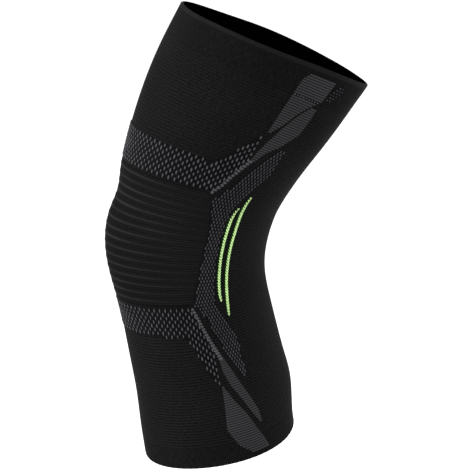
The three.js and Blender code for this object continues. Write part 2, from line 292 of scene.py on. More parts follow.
class Pattern(Enum):
    """Knit structures that a finish can draw."""

    PIQUE_AND_ROWS = "pique above the knee, level rows below it"
    WALES = "upright wales"
    RIBS = "raised level ribs"
    ROWS = "fine level rows"
    CLOSE_ROWS = "close level rows of the grey wedges"
    YARN = "loose yarn"


@dataclass
class KnitDrawing:
    """Draws knit structures with nodes, as heights from 0 in the gaps to 1 on the yarn tops."""

    tree: bpy.types.NodeTree
    # Span of the noise that is stretched to the full grain, and its cells round the leg and along it:
    # about 2.2 by 0.9 mm on the body, 1 by 4 mm on the welts, and 47 by 5 mm for the uneven painted highlight
    # on the ribs' crests
    grain_span: tuple[float, float] = (0.32, 0.68)
    body_cells: tuple[float, float] = (150.0, 320.0)
    welt_cells: tuple[float, float] = (430.0, 70.0)
    crest_highlight_cells: tuple[float, float] = (7.0, 60.0)
    # Shares of the grain in each structure
    body_grain: float = 0.4
    welt_grain: float = 0.55
    rib_grain: float = 0.25
    # Pique: ticks to a wale, their share over the level courses, and where they give way to the courses
    ticks_per_wale: float = 1.5
    tick_share: float = 0.55
    pique_span: tuple[float, float] = (0.58, 0.70)
    level_height: float = 0.7
    # Welt: height of its wales, and the stations and height of the painted highlight along the stretched fold
    welt_height: float = 0.36
    rim_highlight_span: tuple[float, float] = (0.986, 0.993)
    rim_highlight_height: float = 0.42
    # Ribs: sharpness of the crests, courses between them and their height
    crest_power: float = 1.5
    courses_per_rib: int = 3
    course_height: float = 0.26

    @cached_property
    def knit(self) -> Socket:
        """The knit map: turns from the back seam, and station."""
        return add_node(self.tree, "ShaderNodeUVMap", uv_map=KNIT_MAP)

    @cached_property
    def turns(self) -> Socket:
        """Turns from the back seam."""
        return add_node(self.tree, "ShaderNodeSeparateXYZ", self.knit, out="X")

    @cached_property
    def station(self) -> Socket:
        """Share of the sleeve's length from the calf rim."""
        return add_node(self.tree, "ShaderNodeSeparateXYZ", self.knit, out="Y")

    def maths(self, operation: str, *inputs: Socket | float) -> Socket:
        """Add a Math node."""
        return add_node(self.tree, "ShaderNodeMath", *inputs, operation=operation)

    def remap(self, value: Socket, start: float, end: float, foot: float = 0.0, head: float = 1.0,
              ease: str = "LINEAR") -> Socket:
        """Bring a value between start and end to foot and head, and hold it beyond them."""
        return add_node(self.tree, "ShaderNodeMapRange", value, start, end, foot, head,
                        interpolation_type=ease)

    def blend(self, share: Socket | float, first: Socket, second: Socket) -> Socket:
        """Mix two heights by the share of the second one."""
        return add_node(self.tree, "ShaderNodeMix", share, None, first, second, data_type="FLOAT")

    def wave(self, place: Socket, repeats: float) -> Socket:
        """Cosine wave that repeats so often while the place goes from 0 to 1."""
        return self.maths("COSINE", self.maths("MULTIPLY", place, repeats * math.tau))

    def noise(self, cells: tuple[float, float]) -> Socket:
        """Noise with cells counted round the leg and along it."""
        place = add_node(self.tree, "ShaderNodeMapping", self.knit, None, None, (*cells, 1.0))
        return add_node(self.tree, "ShaderNodeTexNoise", named={"Vector": place, "Scale": 1.0, "Detail": 2.0})

    def grain(self, cells: tuple[float, float], head: float = 1.0) -> Socket:
        """Uneven yarn: noise stretched from 0 to head."""
        return self.remap(self.noise(cells), *self.grain_span, 0.0, head)

    def height(self, pattern: Pattern) -> Socket:
        """Draw one of the knit structures."""
        draw = {
            Pattern.PIQUE_AND_ROWS: self.pique_and_rows, Pattern.WALES: self.wales,
            Pattern.RIBS: self.ribs, Pattern.ROWS: self.rows, Pattern.CLOSE_ROWS: self.close_rows,
            Pattern.YARN: self.yarn}
        return draw[pattern]()

    def pique_and_rows(self) -> Socket:
        """Staggered ticks of about 1.9 by 2.1 mm above the knee, level courses below it."""
        level = self.wave(self.station, GAUGE.courses)
        round_leg = self.wave(self.turns, self.ticks_per_wale * GAUGE.wales)
        ticks = self.maths("MULTIPLY", round_leg, self.wave(self.station, GAUGE.courses / 2))
        pique = self.blend(self.tick_share, level, ticks)
        above = self.remap(self.station, *self.pique_span, ease="SMOOTHSTEP")
        mixed = self.blend(above, self.maths("MULTIPLY", level, self.level_height), pique)
        return self.blend(self.body_grain, self.remap(mixed, -1.0, 1.0), self.grain(self.body_cells))

    def wales(self) -> Socket:
        """Wales about 1.5 mm apart at the thigh rim, two to each wale of the body, and a painted highlight
        along the rim's fold.
        """
        fine = self.remap(self.wave(self.turns, 2 * GAUGE.wales), -1.0, 1.0)
        uneven = self.blend(self.welt_grain, fine, self.grain(self.welt_cells))
        # Painted highlight along the stretched fold of the thigh rim, a lighter line about 3 mm wide
        fold = self.remap(self.station, *self.rim_highlight_span, 0.0, self.rim_highlight_height, "SMOOTHSTEP")
        return self.maths("MAXIMUM", self.maths("MULTIPLY", uneven, self.welt_height), fold)

    def ribs(self) -> Socket:
        """Tight crests about 5 mm apart, in step with the panel's ribs and painted lighter as a highlight,
        and faint courses between.

        The yarn on the crests is stretched thin, so the crests are drawn sharper than a wave.
        """
        foot, head = KneecapPanel.edge[0][0], KneecapPanel.edge[-1][0]
        repeats = KneecapPanel.ribs / (head - foot)
        rise = self.maths("SUBTRACT", self.station, foot)
        crest = self.maths("POWER", self.remap(self.wave(rise, repeats), -0.2, -1.0), self.crest_power)
        course = self.wave(rise, self.courses_per_rib * repeats)
        course = self.remap(course, 0.2, -1.0, 0.0, self.course_height)
        # The crests' painted highlight and relief show more on some crests than others, over 40 mm or so
        # along the rib
        pull = self.remap(self.noise(self.crest_highlight_cells), 0.35, 0.65, 0.45, 1.0)
        crest = self.maths("MULTIPLY", crest, pull)
        # Towards the sides the crests' painted highlight and relief fade, and the courses between them show
        # as well
        aside = self.maths("ABSOLUTE", self.maths("SUBTRACT", self.turns, 0.5))
        crest = self.maths("MULTIPLY", crest, self.remap(aside, 0.05, 0.19, 1.0, 0.4))
        course = self.maths("MULTIPLY", course, self.remap(aside, 0.06, 0.18, 0.35, 1.5))
        ribbed = self.maths("MAXIMUM", crest, course)
        return self.blend(self.rib_grain, ribbed, self.grain(self.body_cells, 0.45))

    def rows(self) -> Socket:
        """Level courses."""
        return self.remap(self.wave(self.station, GAUGE.courses), -1.0, 1.0)

    def close_rows(self) -> Socket:
        """Close courses with a narrow dark line of painted shade in the gap under each, faintly parted into
        stitches.
        """
        rows = self.remap(self.wave(self.station, GAUGE.close_courses), -0.8, 0.5)
        stitches = self.remap(self.wave(self.turns, 2 * GAUGE.wales), -1.0, 1.0, 0.72, 1.0)
        return self.maths("MULTIPLY", rows, stitches)

    def yarn(self) -> Socket:
        """Spun filaments about 0.25 mm thick, too fine to show, so drawn at 0.8 mm."""
        place = add_node(self.tree, "ShaderNodeTexCoord", out="Object")
        return add_node(self.tree, "ShaderNodeTexNoise", named={
            "Vector": place, "Scale": 1 / (0.8 * MM), "Detail": 2.0})


@dataclass(frozen=True)
class KnitFinish:
    """A knitted finish: dark ground and lighter top colours set by the knit's height, so the gaps carry
    painted shade; relief and a soft nap.
    """

    name: str
    slot: str
    ground: str
    top: str
    pattern: Pattern
    roughness: float = 0.85
    nap: float = 0.022
    relief: float = 0.3 * MM
    specular: float = 0.015
    bump_strength: float = 0.8
    nap_roughness: float = 0.25
    # Cool grey, so that the nap shows as a faint bluish edge
    nap_tint: tuple[float, float, float, float] = (0.86, 0.88, 1.0, 1.0)

    def material(self) -> bpy.types.Material:
        """Make the material, or give back the one already made."""
        if self.name in bpy.data.materials:
            return bpy.data.materials[self.name]
        material = empty_material(self.name)
        tree = material.node_tree
        height = KnitDrawing(tree).height(self.pattern)
        place = add_node(tree, "ShaderNodeTexCoord", out="Object")
        # Dye and stretch vary over 30 to 60 mm
        cloud = add_node(tree, "ShaderNodeTexNoise", named={"Vector": place, "Scale": 24.0, "Detail": 1.0})
        shade = add_node(tree, "ShaderNodeMapRange", cloud, 0.3, 0.7, 0.90, 1.10)
        # The height picks the colour: where it follows the knit's relief, the dark ground in the gaps is
        # painted shade; on loose yarn it is random grain
        mix = add_node(tree, "ShaderNodeMix", height, data_type="RGBA").node
        for socket, code in zip([s for s in mix.inputs if s.type == "RGBA"], (self.ground, self.top)):
            socket.default_value = linear(code)
        tint = next(s for s in mix.outputs if s.type == "RGBA")
        colour = add_node(tree, "ShaderNodeVectorMath", tint, operation="SCALE", named={"Scale": shade})
        bump = add_node(tree, "ShaderNodeBump", named={
            "Strength": self.bump_strength, "Distance": self.relief, "Height": height})
        shader = add_node(tree, "ShaderNodeBsdfPrincipled", out="BSDF", named={
            "Base Color": colour, "Roughness": self.roughness, "Specular IOR Level": self.specular,
            "Sheen Weight": self.nap, "Sheen Roughness": self.nap_roughness, "Sheen Tint": self.nap_tint,
            "Normal": bump})
        add_node(tree, "ShaderNodeOutputMaterial", shader)
        return material


# Polyamide and elastane knit, matt black: gaps painted darker as shade, slightly lighter yarn tops
BLACK_KNIT = KnitFinish("black_pique_knit", "black_knit", "030303", "1d1d1e", Pattern.PIQUE_AND_ROWS)
# Turned double welt: denser, with upright wales; its lighter top colour also paints the highlight along the
# thigh rim's fold
WELT_KNIT = KnitFinish("turned_welt_knit", "cuff_knit", "070707", "2a2a2b", Pattern.WALES, relief=0.12 * MM)
# Inner face, painted nearly black as the shade inside the tube
SHADED_INNER_FACE = KnitFinish("brushed_inner_face", "black_knit", "010101", "020202", Pattern.ROWS, nap=0.0,
                        specular=0.0, relief=0.05 * MM)
# Level ribs over the kneecap: each crest is a tight course, painted lighter as a highlight
RIBBED_KNIT = KnitFinish("ribbed_kneecap_knit", "ribbed_knit", "0c0c0c", "29292a", Pattern.RIBS)
# Ground between the raised dots: flat float stitches, nearly black
DOT_GROUND = KnitFinish("dot_ground_knit", "dotted_knit", "060607", "0d0d0f", Pattern.ROWS, nap=0.01,
                        specular=0.05, relief=0.1 * MM)
# Grey textured yarn of the dots and the chain
DOT_YARN = KnitFinish("grey_tuck_yarn", "dotted_knit", "3c3c3f", "555559", Pattern.YARN, relief=0.1 * MM)
# The same yarn in single small tucks on the side mesh
MESH_YARN = KnitFinish("fine_mesh_yarn", "mesh_knit", "343437", "47474a", Pattern.YARN, relief=0.1 * MM)
# Ground of the side mesh: the same flat floats, a shade lighter
MESH_GROUND = KnitFinish("mesh_ground_knit", "mesh_knit", "070709", "101013", Pattern.ROWS, nap=0.01,
                         specular=0.05, relief=0.1 * MM)
# Grey courses packed close, with a dark line of painted shade in the gap under each
WEDGE_KNIT = KnitFinish("grey_course_knit", "grey_knit", "1c1c1d", "3c3c3e", Pattern.CLOSE_ROWS,
                        relief=0.15 * MM)
# Bright lime covering yarn, smoother than the rest
LIME_YARN = KnitFinish("lime_covering_yarn", "lime_yarn", "a9d576", "d5f2b6", Pattern.YARN, roughness=0.7,
                       relief=0.15 * MM, specular=0.15)
# Dark green ground that shows as a thin edge round each lime stripe
LIME_GROUND = KnitFinish("lime_ground_knit", "lime_yarn", "081602", "123206", Pattern.ROWS, roughness=0.8,
                         nap=0.0, relief=0.1 * MM)


# ---- Mesh making

@dataclass
class MeshSketch:
    """Grids of points that are gathered into one mesh with its knit map."""

    name: str
    finishes: list[KnitFinish]
    points: list[Array] = field(default_factory=list)
    faces: list[Array] = field(default_factory=list)
    maps: list[Array] = field(default_factory=list)
    slots: list[Array] = field(default_factory=list)
    count: int = 0

    def grid(self, points: Array, knit: Array, closed: bool = False, slot: Array | int = 0) -> None:
        """Add a grid of four-sided faces.

        Args:
            points: rows by columns of points.
            knit: rows by columns of map places; one column more than points where the grid is closed.
            closed: whether the last column joins the first.
            slot: material index, one for all faces or one for each row of faces.
        """
        rows, columns = points.shape[:2]
        across = columns if closed else columns - 1
        i, j = np.meshgrid(np.arange(rows - 1), np.arange(across), indexing="ij")
        k = (j + 1) % columns
        corners = [(i, j), (i, k), (i + 1, k), (i + 1, j)]
        self.faces.append(np.stack([a * columns + b + self.count for a, b in corners], -1).reshape(-1, 4))
        wide = [(i, j), (i, j + 1), (i + 1, j + 1), (i + 1, j)]
        self.maps.append(np.stack([knit[a, b] for a, b in wide], -2).reshape(-1, 4, 2))
        self.slots.append(np.broadcast_to(np.asarray(slot).reshape(-1, 1), i.shape).reshape(-1))
        self.points.append(points.reshape(-1, 3))
        self.count += rows * columns

    def finish(self) -> bpy.types.Object:
        """Weld the grids, turn the faces outward and make the object."""
        mesh = bpy.data.meshes.new(self.name)
        mesh.from_pydata(np.concatenate(self.points).tolist(), [], np.concatenate(self.faces).tolist())
        mesh.uv_layers.new(name=KNIT_MAP).data.foreach_set("uv", np.concatenate(self.maps).reshape(-1))
        mesh.polygons.foreach_set("material_index", np.concatenate(self.slots).astype(np.int32))
        work = bmesh.new()
        work.from_mesh(mesh)
        bmesh.ops.remove_doubles(work, verts=work.verts, dist=WELD_DISTANCE)
        bmesh.ops.recalc_face_normals(work, faces=work.faces)
        work.to_mesh(mesh)
        work.free()
        mesh.shade_smooth()
        mesh.set_sharp_from_angle(angle=math.radians(SHARP_ANGLE))
        for finish in self.finishes:
            mesh.materials.append(finish.material())
        return add_object(self.name, mesh)


def knit_place(station: Array, angle: Array) -> Array:
    """Map place of each point: turns from the back seam, and station."""
    return np.stack([np.asarray(angle) / 360 + 0.5, np.asarray(station)], -1)


def slab(sketch: MeshSketch, station: Array, angle: Array, lift: Array | float) -> None:
    """Add a closed slab that stands on the knit.

    Args:
        sketch: mesh that gets the slab.
        station: rows by columns of stations, or what spreads to that.
        angle: rows by columns of angles, or what spreads to that.
        lift: lift of the top, one for all or one for each place.
    """
    station, angle = np.broadcast_arrays(station, angle)
    knit = knit_place(station, angle)
    top = LEG.point(station, angle, lift)
    base = LEG.point(station, angle, Lift.SHEET_FOOT.value)
    for face in (top, base):
        sketch.grid(face, knit)
    for end in (slice(0, 1), slice(-1, None)):
        sketch.grid(np.concatenate([base[end], top[end]]), np.concatenate([knit[end]] * 2))
    for side in (0, -1):
        sketch.grid(np.stack([base[:, side], top[:, side]]), np.stack([knit[:, side]] * 2))


def strip(sketch: MeshSketch, station: Array, span: list[Array], columns: int, side: Side,
          lift: Array | float = Lift.SHEET.value) -> None:
    """Add a slab on one side of the knee, between two angles at each station.

    Args:
        sketch: mesh that gets the slab.
        station: stations of its rows.
        span: first and last angle of each row.
        columns: faces across it.
        side: side of the knee.
        lift: lift of the top, one for all or a column of one for each row.
    """
    low, high = (angle[:, None] for angle in span)
    angle = low + (high - low) * np.linspace(0, 1, columns + 1)
    slab(sketch, station[:, None], angle * side.value, lift)


def ring_piece(name: str, finish: KnitFinish, stations: Array, lifts: Array, columns: int,
               first_inner: int) -> bpy.types.Object:
    """Make a tube from rings of points, from outside round to inside.

    Args:
        name: name of the object.
        finish: finish of the outside.
        stations: station of each ring.
        lifts: lifts by ring, one for the whole ring or one for each column.
        columns: points in a ring.
        first_inner: first row of faces that takes the inner face's finish.

    Returns:
        The object, not yet riding on anything.
    """
    angles = np.linspace(-180, 180, columns + 1)
    sketch = MeshSketch(name, [finish, SHADED_INNER_FACE])
    sketch.grid(LEG.point(stations[:, None], angles[None, :-1], lifts),
                knit_place(*np.broadcast_arrays(stations[:, None], angles[None, :])),
                closed=True, slot=(np.arange(len(stations) - 1) >= first_inner).astype(int))
    return sketch.finish()


@dataclass(frozen=True)
class StitchKind:
    """Size of one raised stitch and how uneven its yarn is."""

    width: float
    length: float
    height: float
    unevenness: float = 0.12
    seed: int = 7

    def tree(self) -> bpy.types.NodeTree:
        """Build the node tree that sets one rounded stitch on every point."""
        name = "raised_stitches"
        if name in bpy.data.node_groups:
            return bpy.data.node_groups[name]
        tree = bpy.data.node_groups.new(name, "GeometryNodeTree")
        sockets = {"Places": "Geometry", "Stitch width": "Float", "Stitch length": "Float",
                   "Stitch height": "Float", "Unevenness": "Float", "Yarn seed": "Int", "Yarn": "Material"}
        for label, kind in sockets.items():
            tree.interface.new_socket(label, in_out="INPUT", socket_type="NodeSocket" + kind)
        tree.interface.new_socket("Knit", in_out="OUTPUT", socket_type="NodeSocketGeometry")
        inputs = add_node(tree, "NodeGroupInput").node.outputs
        along, out, size = (
            add_node(tree, "GeometryNodeInputNamedAttribute", label, data_type="FLOAT_VECTOR")
            for label in ("along", "out", "size"))
        lean = add_node(tree, "FunctionNodeAlignRotationToVector", axis="Z", named={"Vector": out})
        turn = add_node(tree, "FunctionNodeAlignRotationToVector", axis="Y", pivot_axis="Z",
                        named={"Rotation": lean, "Vector": along})
        less = add_node(tree, "ShaderNodeMath", 1.0, inputs["Unevenness"], operation="SUBTRACT")
        more = add_node(tree, "ShaderNodeMath", 1.0, inputs["Unevenness"], operation="ADD")
        dice = add_node(tree, "FunctionNodeRandomValue", data_type="FLOAT", out=1)
        least, most, _, seed = (socket for socket in dice.node.inputs if socket.enabled)
        for socket, value in ((least, less), (most, more), (seed, inputs["Yarn seed"])):
            tree.links.new(value, socket)
        box = add_node(tree, "ShaderNodeCombineXYZ", inputs["Stitch width"], inputs["Stitch length"],
                       inputs["Stitch height"])
        box = add_node(tree, "ShaderNodeVectorMath", box, size, operation="MULTIPLY")
        box = add_node(tree, "ShaderNodeVectorMath", box, operation="SCALE", named={"Scale": dice})
        bead = add_node(tree, "GeometryNodeMeshUVSphere", named={"Segments": 8, "Rings": 5, "Radius": 0.5})
        bead = add_node(tree, "GeometryNodeSetShadeSmooth", bead)
        laid = add_node(tree, "GeometryNodeInstanceOnPoints", inputs["Places"],
                        named={"Instance": bead, "Rotation": turn, "Scale": box})
        solid = add_node(tree, "GeometryNodeRealizeInstances", laid)
        dressed = add_node(tree, "GeometryNodeSetMaterial", solid, named={"Material": inputs["Yarn"]})
        add_node(tree, "NodeGroupOutput", dressed)
        return tree

    def lay(self, name: str, places: "Places", yarn: KnitFinish) -> bpy.types.Object:
        """Set the stitches on their places and make them a plain mesh.

        Args:
            name: name of the object.
            places: where the stitches go.
            yarn: their finish.

        Returns:
            The object, not yet riding on anything.
        """
        mesh = bpy.data.meshes.new(name + "_places")
        mesh.from_pydata(places.points().tolist(), [], [])
        for label, values in places.vectors().items():
            mesh.attributes.new(label, "FLOAT_VECTOR", "POINT").data.foreach_set("vector", values.reshape(-1))
        seed_piece = add_object(name + "_places", mesh)
        tree = self.tree()
        modifier = seed_piece.modifiers.new("Stitches", "NODES")
        modifier.node_group = tree
        values = {"Stitch width": self.width, "Stitch length": self.length, "Stitch height": self.height,
                  "Unevenness": self.unevenness, "Yarn seed": self.seed, "Yarn": yarn.material()}
        for item in tree.interface.items_tree:
            if item.in_out == "INPUT" and item.name in values:
                modifier[item.identifier] = values[item.name]
        ready = seed_piece.evaluated_get(bpy.context.evaluated_depsgraph_get())
        solid = bpy.data.meshes.new_from_object(ready)
        bpy.data.objects.remove(seed_piece)
        solid.name = name
        return add_object(name, solid)


@dataclass
class Places:
    """Where stitches go: stations, angles, relative sizes and slant from the wale, in degrees."""

    station: Array
    angle: Array
    size: Array | None = None
    slant: Array | float = 0.0
    lift: float = Lift.STITCH.value

    def points(self) -> Array:
        """The stitches' middles."""
        return LEG.point(self.station, self.angle, self.lift)

    def vectors(self) -> dict[str, Array]:
        """Direction along each stitch, direction out of the face, and relative size."""
        up, out = LEG.directions(self.station, self.angle)
        slant = np.radians(np.broadcast_to(self.slant, self.station.shape))[:, None]
        along = up * np.cos(slant) + np.cross(up, out) * np.sin(slant)
        size = np.ones_like(up) if self.size is None else self.size
        return {"along": along, "out": out, "size": size}

    def joined(self, other: "Places") -> "Places":
        """Both sets of places as one."""
        sizes = [np.ones((len(p.station), 3)) if p.size is None else p.size for p in (self, other)]
        slants = [np.broadcast_to(p.slant, p.station.shape) for p in (self, other)]
        station, angle, size, slant = (np.concatenate(both) for both in (
            (self.station, other.station), (self.angle, other.angle), sizes, slants))
        return Places(station, angle, size, slant, self.lift)


def join_pieces(name: str, pieces: list[bpy.types.Object]) -> bpy.types.Object:
    """Join objects into the first one and name it."""
    with bpy.context.temp_override(active_object=pieces[0], selected_editable_objects=pieces,
                                   selected_objects=pieces):
        bpy.ops.object.join()
    pieces[0].name = pieces[0].data.name = name
    return pieces[0]


def seat(piece: bpy.types.Object, node: str) -> None:
    """Let a piece stand for its solid and ride with it."""
    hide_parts(node)
    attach(piece, "root")
    LOG.info("%s: %d faces", piece.name, len(piece.data.polygons))


# ---- The tube and its welts

@dataclass(frozen=True)
class Tube:
    """The plain knitted tube between the welts."""

    columns: int = 216
    rows: int = 150
    inner_rows: int = 60

    def build(self) -> bpy.types.Object:
        """Make the outer face, the inner face and the two edges under the welts."""
        foot, head = LEG.calf_cuff_top, LEG.thigh_cuff_foot
        stations = np.concatenate([
            np.linspace(foot, head, self.rows), np.linspace(head, foot, self.inner_rows), [foot]])
        lifts = np.full((len(stations), 1), Lift.PLAIN.value - LEG.wall)
        lifts[:self.rows] = lifts[-1] = Lift.PLAIN.value
        return ring_piece("sleeve_tube", BLACK_KNIT, stations, lifts, self.columns, self.rows - 1)

    def dress(self) -> None:
        """Seat the tube in place of its solid."""
        seat(self.build(), "sleeve_body")


@dataclass(frozen=True)
class Cuff:
    """A turned double welt with a rounded fold at the opening."""

    node: str
    body_edge: float
    rim: float
    columns: int = 288
    rows: int = 20
    fold_steps: int = 8
    extra: float = 0.6 * MM
    scallop: float = 0.10 * MM
    scallop_reach: float = 0.03

    def build(self) -> bpy.types.Object:
        """Make the welt as rings from the body's edge over the fold and back inside."""
        outer, inner = Lift.PLAIN.value, Lift.PLAIN.value - LEG.wall - self.extra
        radius = (outer - inner) / 2
        round_share = math.copysign(radius / LEG.length, self.rim - self.body_edge)
        fold_foot = self.rim - round_share
        turn = np.linspace(0, math.pi, self.fold_steps + 1)
        stations = np.concatenate([
            np.linspace(self.body_edge, fold_foot, self.rows)[:-1], fold_foot + round_share * np.sin(turn),
            np.linspace(fold_foot, self.body_edge, self.rows)[1:], [self.body_edge]])
        lifts = np.concatenate([np.full(self.rows - 1, outer), (outer + inner) / 2 + radius * np.cos(turn),
                                np.full(self.rows - 1, inner), [outer]])
        angles = np.linspace(-180, 180, self.columns + 1)[:-1]
        ripple = self.scallop * np.cos(np.radians(angles) * GAUGE.wales / 2)
        fade = np.clip(1 - np.abs(stations - self.rim) / self.scallop_reach, 0, 1)
        return ring_piece(self.node + "_welt", WELT_KNIT, stations, lifts[:, None] + np.outer(fade, ripple),
                          self.columns, self.rows + self.fold_steps // 2)

    def dress(self) -> None:
        """Seat the welt in place of its solid."""
        seat(self.build(), self.node)


# ---- Zones round the front

@dataclass(frozen=True)
class KneecapPanel:
    """Ribbed panel over the kneecap; edge rows are station and half angle."""

    ribs: int = 16
    rows_per_rib: int = 12
    columns: int = 150
    # Height and spread of the crest, and of the two faint courses and their way from it, as shares of a rib
    crest: float = 0.24 * MM
    crest_spread: float = 0.16
    minor: float = 0.08 * MM
    minor_spread: float = 0.07
    minor_way: float = 0.36
    # The relief dies out over the last share of the width, and halves from the front to the sides
    edge_share: float = 1 / 14
    side_loss: float = 0.5
    side_span: tuple[float, float] = (20, 70)
    stitch_share: float = 0.12
    # The ribs waver by this share of the length, in waves counted round the leg and along it in radians
    wobble: float = 0.0013
    wobble_waves: tuple[float, float] = (5, 60)
    edge: tuple[tuple[float, float], ...] = (
        (0.395, 73.0), (0.438, 77.4), (0.479, 80.0), (0.513, 81.8), (0.553, 83.4),
        (0.584, 82.8), (0.607, 81.4), (0.649, 78.0))

    def build(self) -> bpy.types.Object:
        """Make the panel with a tight crest on every rib and a faint course between."""
        rows = self.ribs * self.rows_per_rib
        station = np.linspace(self.edge[0][0], self.edge[-1][0], rows + 1)
        way = np.arange(rows + 1) / self.rows_per_rib % 1 - 0.5
        profile = self.crest * np.exp(-(way / self.crest_spread) ** 2)
        profile += self.minor * np.exp(-((np.abs(way) - self.minor_way) / self.minor_spread) ** 2)
        half, = read_table(self.edge, station)
        stations, shares = np.meshgrid(station, np.linspace(-1, 1, self.columns + 1), indexing="ij")
        angles = shares * half[:, None]
        close = np.minimum(1, (1 - np.abs(shares)) / self.edge_share)
        close = close * (1 - self.side_loss * smooth_share(np.abs(angles), *self.side_span))
        stitches = 1 + self.stitch_share * np.cos(np.radians(angles) * GAUGE.wales)
        lifts = Lift.PANEL.value + profile[:, None] * close * stitches
        around, along = self.wobble_waves
        wobble = self.wobble * np.sin(np.radians(angles) * around + stations * along)
        held = np.sin(math.pi * np.linspace(0, 1, rows + 1))[:, None]
        sketch = MeshSketch("kneecap_ribs", [RIBBED_KNIT])
        slab(sketch, stations + wobble * held, angles, lifts)
        return sketch.finish()

    def dress(self) -> None:
        """Seat the panel in place of its solid."""
        seat(self.build(), "kneecap_panel")


@dataclass(frozen=True)
class DotBand:
    """Band of staggered tuck stitches; table rows are angle, lower and upper station."""

    node: str
    table: tuple[tuple[float, float, float], ...]
    dot_rows: int
    row_span: tuple[float, float]
    chain: tuple[tuple[float, float], ...]
    dot: StitchKind
    chain_widths: tuple[tuple[float, float], ...]
    chain_dot: StitchKind = StitchKind(2.5 * MM, 2.1 * MM, 0.65 * MM, 0.08, 11)
    column_pitch: float = 4.4
    # Rows and columns that are tried to either side of the first dot
    tried: tuple[int, int] = (30, 24)
    # Dots keep this share of a row from the lower and the upper edge, and may pass the ends by this angle
    margins: tuple[float, float] = (0.3, 0.25)
    end_angle: float = 0.5
    columns: int = 120
    ground_rows: int = 8

    def dots(self) -> Places:
        """Places of the staggered dots inside the band."""
        low, high = self.row_span
        pitch = (high - low) / self.dot_rows
        reach = self.table[-1][0]
        rows, columns = self.tried
        found = []
        for row in range(-rows, rows):
            station = low + (row + 0.5) * pitch
            angle = (np.arange(-columns, columns + 1) + 0.5 * (row % 2)) * self.column_pitch
            angle = angle[np.abs(angle) < reach + self.end_angle]
            lower, upper = read_table(self.table, np.abs(angle))
            keep = (station > lower + self.margins[0] * pitch) & (station < upper - self.margins[1] * pitch)
            found += [(station, a) for a in angle[keep]]
        station, angle = np.array(found).T
        return Places(station, angle)

    def chain_places(self) -> Places:
        """One wide bead on every course along the chain, on both sides."""
        chain = tuple(sorted(self.chain))
        steps = np.arange(chain[0][0], chain[-1][0], GAUGE.course_share)
        (angle,), (width,) = read_table(chain, steps), read_table(self.chain_widths, steps)
        size = np.stack([width, np.ones_like(width), np.ones_like(width)], -1)
        left, right = Places(steps, angle, size), Places(steps, -angle, size)
        return left.joined(right)

    def build(self) -> bpy.types.Object:
        """Make the dark ground, the dots and the chain as one piece."""
        angle = np.linspace(-self.table[-1][0], self.table[-1][0], self.columns + 1)
        low, high = read_table(self.table, np.abs(angle))
        stations = low + (high - low) * np.linspace(0, 1, self.ground_rows + 1)[:, None]
        ground = MeshSketch(self.node + "_ground", [DOT_GROUND])
        slab(ground, stations, angle, Lift.SHEET.value)
        return join_pieces(self.node + "_knit", [
            ground.finish(),
            self.dot.lay(self.node + "_dots", self.dots(), DOT_YARN),
            self.chain_dot.lay(self.node + "_chain", self.chain_places(), DOT_YARN)])

    def dress(self) -> None:
        """Seat the band in place of its solid."""
        seat(self.build(), self.node)


# ---- Zones on the sides

@dataclass(frozen=True)
class SidePiece:
    """Piece that is made once for each side of the knee."""

    node: str
    table: tuple[tuple[float, ...], ...]
    slot: ClassVar[str]

    def label(self, side: Side) -> str:
        """Name of one side's solid."""
        return f"{self.node}_{side.name.lower()}"

    def build(self, side: Side) -> bpy.types.Object:
        """Make one side's piece."""
        raise NotImplementedError

    def dress(self) -> None:
        """Seat the piece on both sides in place of its solids."""
        for side in Side:
            seat(self.build(side), self.label(side))


@dataclass(frozen=True)
class SideZone(SidePiece):
    """Zone of raised stitches; table rows are station, first and last angle."""

    stitch: StitchKind
    yarn: KnitFinish
    ground: KnitFinish
    row_pitch: float = GAUGE.course_share
    column_pitch: float = GAUGE.wale_angle
    stagger: float = 0.0
    # Stitches keep this share of a column from the zone's edges
    margin: float = 0.2
    rows: int = 60
    columns: int = 8
    slot: ClassVar[str] = MESH_YARN.slot

    def stitches(self, side: Side) -> Places:
        """Places of the zone's stitches on one side."""
        found = []
        first, last = self.table[0][0], self.table[-1][0]
        for row in range(math.ceil(first / self.row_pitch), math.floor(last / self.row_pitch) + 1):
            station = row * self.row_pitch
            low, high = (float(x) for x in read_table(self.table, station))
            columns = np.arange(math.floor(low / self.column_pitch), math.ceil(high / self.column_pitch) + 1)
            angle = (columns + self.stagger * (row % 2)) * self.column_pitch
            inset = self.margin * self.column_pitch
            found += [(station, a) for a in angle[(angle > low + inset) & (angle < high - inset)]]
        station, angle = np.array(found).T
        return Places(station, angle * side.value)

    def build(self, side: Side) -> bpy.types.Object:
        """Make the ground and the stitches of one side as one piece."""
        label = self.label(side)
        station = np.linspace(self.table[0][0], self.table[-1][0], self.rows + 1)
        ground = MeshSketch(label + "_ground", [self.ground])
        strip(ground, station, read_table(self.table, station), self.columns, side)
        return join_pieces(label + "_knit", [
            ground.finish(), self.stitch.lay(label + "_stitches", self.stitches(side), self.yarn)])


